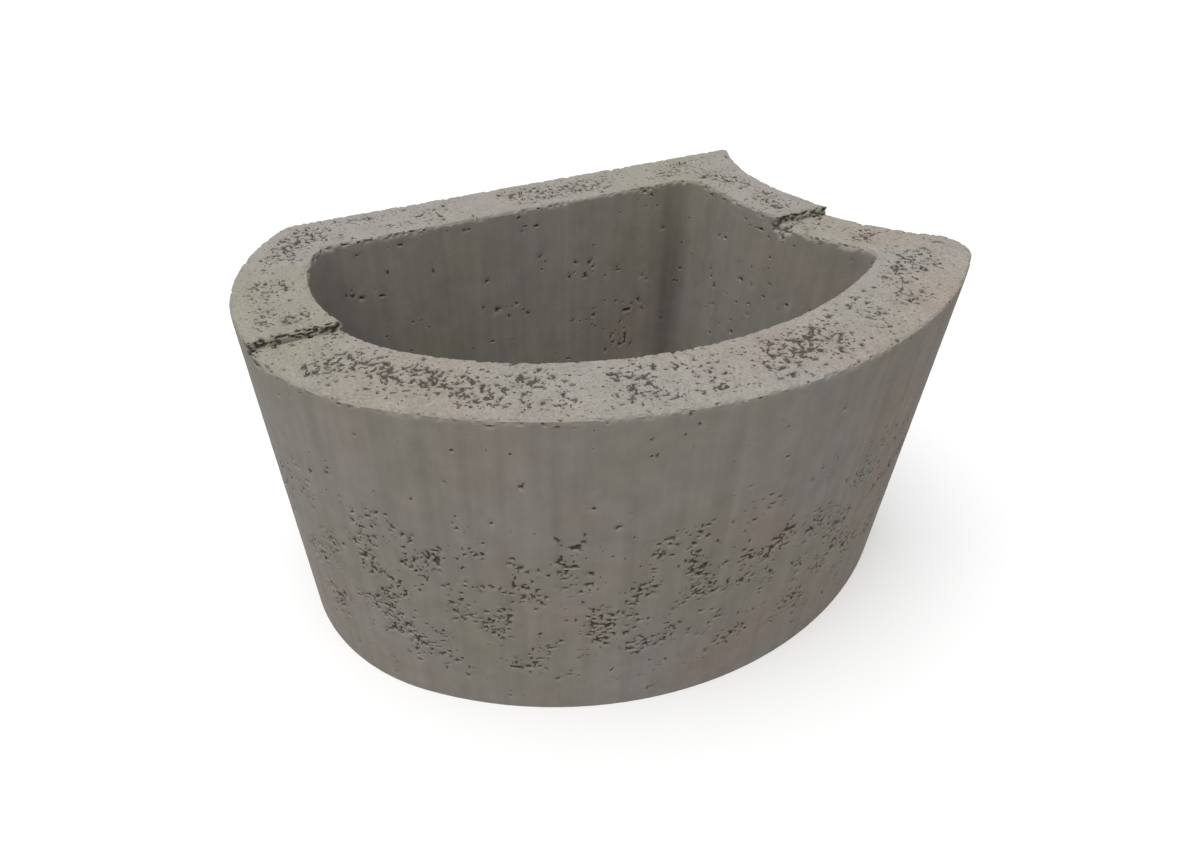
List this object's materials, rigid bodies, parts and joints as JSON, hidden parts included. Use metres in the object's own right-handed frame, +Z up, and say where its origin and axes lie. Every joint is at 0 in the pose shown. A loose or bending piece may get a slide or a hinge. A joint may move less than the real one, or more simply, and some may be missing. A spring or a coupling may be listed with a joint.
{
  "type": "retaining wall block",
  "caption": "Hollow concrete retaining wall block with a bowed front, a rounded nose and a scooped socket that takes the next block's nose, open right through for soil and planting.",
  "frame": {"origin": "on the underside, at the middle of the bounding box", "axes": "+X from the rounded nose towards the socket and horn, +Y from the bowed front towards the flat back wall, +Z up"},
  "size_m": [0.45, 0.3, 0.25],
  "materials": {
    "concrete": "dry-cast grey concrete, rough and pitted"
  },
  "bodies": {
    "root": {"retaining_wall_block": "concrete"}
  },
  "joints": []
}
